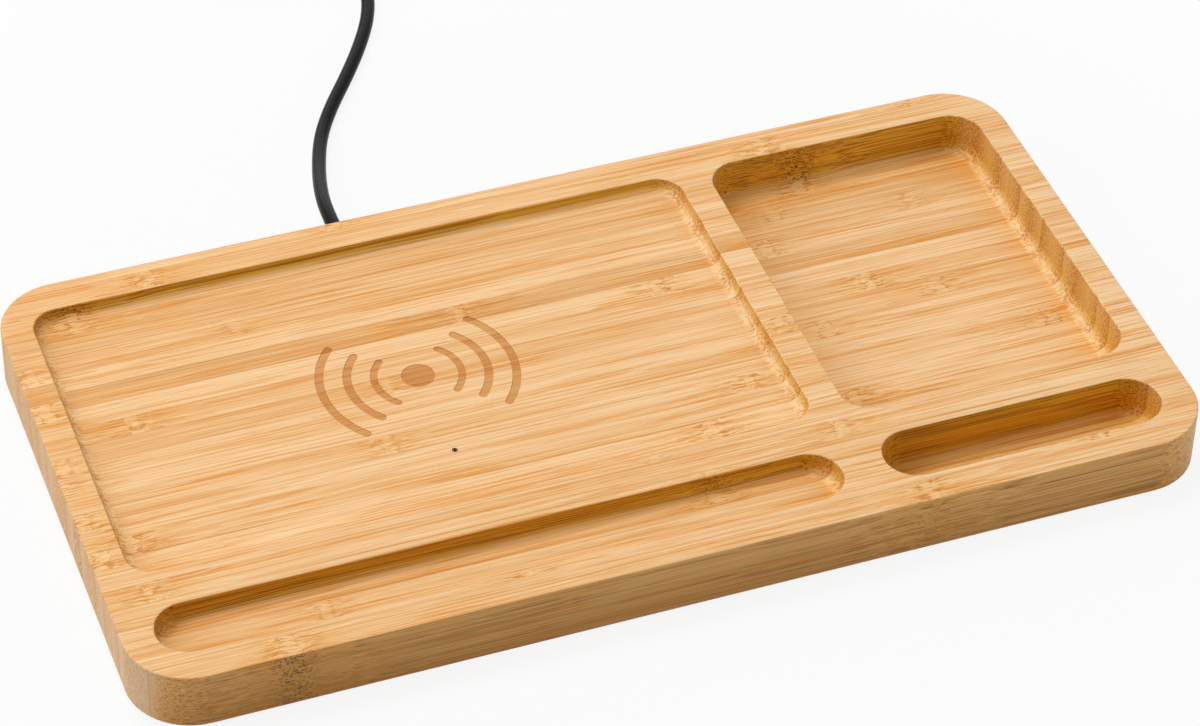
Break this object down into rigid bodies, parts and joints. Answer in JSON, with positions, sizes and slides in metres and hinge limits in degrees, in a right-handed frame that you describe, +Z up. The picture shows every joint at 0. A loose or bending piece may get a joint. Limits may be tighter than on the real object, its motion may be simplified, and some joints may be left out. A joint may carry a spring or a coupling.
{
  "type": "charging station organizer",
  "caption": "Bamboo desk organizer tray with a wireless charging pad under its phone tray, a deep tray, pen slots and a fixed supply cable.",
  "frame": {"origin": "middle of the board's footprint, on the plane that the feet rest on", "axes": "+X along the board's length to the right, +Y to the rear face where the cable leaves, +Z up"},
  "size_m": [0.3, 0.3666, 0.0185],
  "materials": {
    "bamboo": "fine sanded, clear matt oil",
    "cover_plastic": "fine moulded grain",
    "screw_steel": "zinc plated",
    "foot_rubber": "matt",
    "circuit_laminate": "solder resist",
    "copper_wire": "enamelled copper",
    "ferrite": "sintered",
    "foam": "open cell",
    "chip_resin": "moulded",
    "capacitor_ceramic": "fired",
    "lamp_resin": "moulded",
    "clear_plastic": "polished",
    "grommet_rubber": "moulded, matt",
    "cable_jacket": "satin extruded jacket",
    "clamp_plastic": "moulded",
    "core_red": "extruded",
    "core_black": "extruded",
    "tie_webbing": "woven",
    "plug_plastic": "fine moulded grain",
    "plug_steel": "nickel plated",
    "insulator_plastic": "moulded",
    "contact_gilt": "gilt"
  },
  "bodies": {
    "root": {"bamboo_body": "bamboo", "bottom_cover": "cover_plastic", "cover_screws": "screw_steel", "foot_front_left": "foot_rubber", "foot_front_right": "foot_rubber", "foot_rear_left": "foot_rubber", "foot_rear_right": "foot_rubber", "circuit_board": "circuit_laminate", "board_screws": "screw_steel", "charging_coil": "copper_wire", "coil_leads": "copper_wire", "ferrite_plate": "ferrite", "foam_pad": "foam", "controller_chip": "chip_resin", "bridge_transistors": "chip_resin", "resonant_capacitors": "capacitor_ceramic", "power_inductor": "ferrite", "input_capacitors": "capacitor_ceramic", "indicator_led": "lamp_resin", "light_pipe": "clear_plastic", "strain_relief": "grommet_rubber", "cable_lead_in": "cable_jacket", "cable_clamp": "clamp_plastic", "clamp_screws": "screw_steel", "supply_wire_red": "core_red", "supply_wire_black": "core_black", "cable_free_run": "cable_jacket", "cable_coil": "cable_jacket", "cable_tail": "cable_jacket", "cable_tie": "tie_webbing", "plug_overmould": "plug_plastic", "plug_shell": "plug_steel", "plug_insulator": "insulator_plastic", "plug_contacts": "contact_gilt"}
  },
  "joints": []
}
